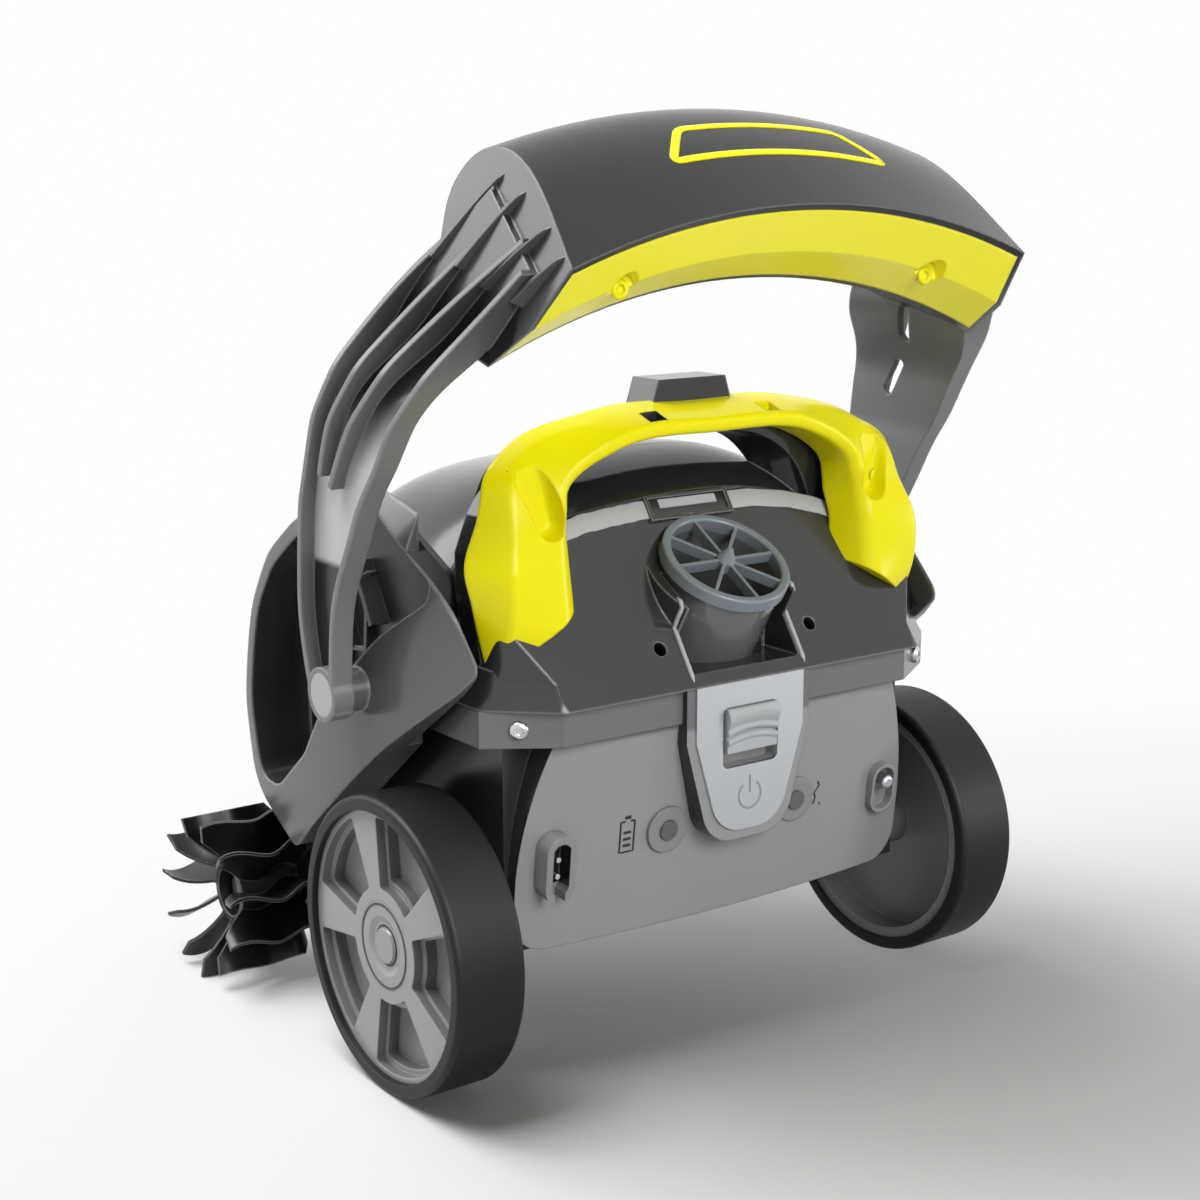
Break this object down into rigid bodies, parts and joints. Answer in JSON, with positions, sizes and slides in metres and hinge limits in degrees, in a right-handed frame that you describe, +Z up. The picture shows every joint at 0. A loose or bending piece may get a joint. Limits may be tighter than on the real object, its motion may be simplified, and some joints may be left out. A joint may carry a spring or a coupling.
{
  "type": "pool cleaner",
  "caption": "Cordless jet-driven pool cleaner on two wheels and two paddle brushes, with a hinged float bow, carrying handle and filter lid.",
  "frame": {"origin": "on the ground under the middle of the whole outline", "axes": "+Y is the driving direction, +X the cleaner's right-hand side, +Z up; the jet and the control panel face -Y"},
  "size_m": [0.336, 0.2987, 0.4113],
  "materials": {
    "grey_body": "satin light grey moulding",
    "dark_gloss": "glossy near-black moulding",
    "ring_grey": "satin blue-grey moulding",
    "dark_matte": "dark grey moulding",
    "dome_grey": "glossy mid grey moulding",
    "yellow": "glossy lemon yellow",
    "float_grey": "glossy dark grey moulding",
    "light_grey": "satin light grey moulding",
    "silver": "fine satin silver",
    "steel": "bright steel",
    "motor_can": "painted can",
    "lens": "clear white lens",
    "brass_pins": "plated contact pins",
    "board": "circuit board",
    "tyre": "black rubber",
    "fin_rubber": "black flexible rubber"
  },
  "bodies": {
    "chassis": {"battery_pack": "dark_matte", "charge_inlet": "dark_matte", "charge_pins": "brass_pins", "control_board": "board", "filter_basket": "light_grey", "flap_pin": "steel", "handle_cover": "yellow", "handle_screws": "steel", "jet_grille": "ring_grey", "jet_tube": "dark_gloss", "left_brush_axle": "steel", "left_brush_bracket": "dark_matte", "left_pivot_pin": "steel", "left_side_frame": "light_grey", "left_side_liner": "dark_matte", "left_wheel_axle": "steel", "lid_hinge_pin": "steel", "lower_housing": "grey_body", "pump_cage": "dark_matte", "pump_motor": "motor_can", "rear_deck": "dark_gloss", "right_brush_axle": "steel", "right_brush_bracket": "dark_matte", "right_pivot_pin": "steel", "right_side_frame": "light_grey", "right_side_liner": "dark_matte", "right_wheel_axle": "steel", "seam_screws": "steel", "sensor_socket": "dark_matte", "sensor_stud": "silver", "status_lenses": "lens", "status_rings": "dark_gloss", "switch_plate": "silver", "top_bridge": "dome_grey"},
    "float": {"float_shell": "float_grey", "float_cap": "yellow", "float_cap_screws": "steel", "left_pivot_cap": "light_grey", "right_pivot_cap": "light_grey"},
    "lid": {"filter_lid": "dome_grey"},
    "left_wheel": {"left_tyre": "tyre", "left_hub": "light_grey", "left_hub_cap": "light_grey"},
    "right_wheel": {"right_tyre": "tyre", "right_hub": "light_grey", "right_hub_cap": "light_grey"},
    "left_brush": {"left_paddle_brush": "fin_rubber"},
    "right_brush": {"right_paddle_brush": "fin_rubber"},
    "power_switch": {"power_slider": "ring_grey"},
    "pump_rotor": {"impeller": "dark_matte", "motor_shaft": "steel"},
    "flap": {"intake_flap": "dark_matte"}
  },
  "joints": [
    {"name": "float_tilt", "type": "hinge", "parent": "chassis", "child": "float", "pos_m": [0, -0.0197, 0.1674], "axis": [-1, 0, 0], "range_deg": [0, 55]},
    {"name": "lid_open", "type": "hinge", "parent": "chassis", "child": "lid", "pos_m": [0, 0.1438, 0.098], "axis": [-1, 0, 0], "range_deg": [0, 75]},
    {"name": "left_wheel_spin", "type": "hinge", "parent": "chassis", "child": "left_wheel", "pos_m": [-0.141, -0.0584, 0.065], "axis": [1, 0, 0], "continuous": true},
    {"name": "right_wheel_spin", "type": "hinge", "parent": "chassis", "child": "right_wheel", "pos_m": [0.141, -0.0584, 0.065], "axis": [1, 0, 0], "continuous": true},
    {"name": "left_brush_spin", "type": "hinge", "parent": "chassis", "child": "left_brush", "pos_m": [-0.14, 0.1021, 0.0396], "axis": [1, 0, 0], "continuous": true},
    {"name": "right_brush_spin", "type": "hinge", "parent": "chassis", "child": "right_brush", "pos_m": [0.14, 0.1021, 0.0396], "axis": [1, 0, 0], "continuous": true},
    {"name": "power_slide", "type": "slide", "parent": "chassis", "child": "power_switch", "axis": [0, 0, 1], "range_m": [-0.005, 0]},
    {"name": "impeller_spin", "type": "hinge", "parent": "chassis", "child": "pump_rotor", "pos_m": [0, -0.0949, 0.2209], "axis": [0, -0.518, 0.8554], "continuous": true},
    {"name": "flap_swing", "type": "hinge", "parent": "chassis", "child": "flap", "pos_m": [0, 0.0856, 0.0305], "axis": [-1, 0, 0], "range_deg": [0, 55]}
  ]
}
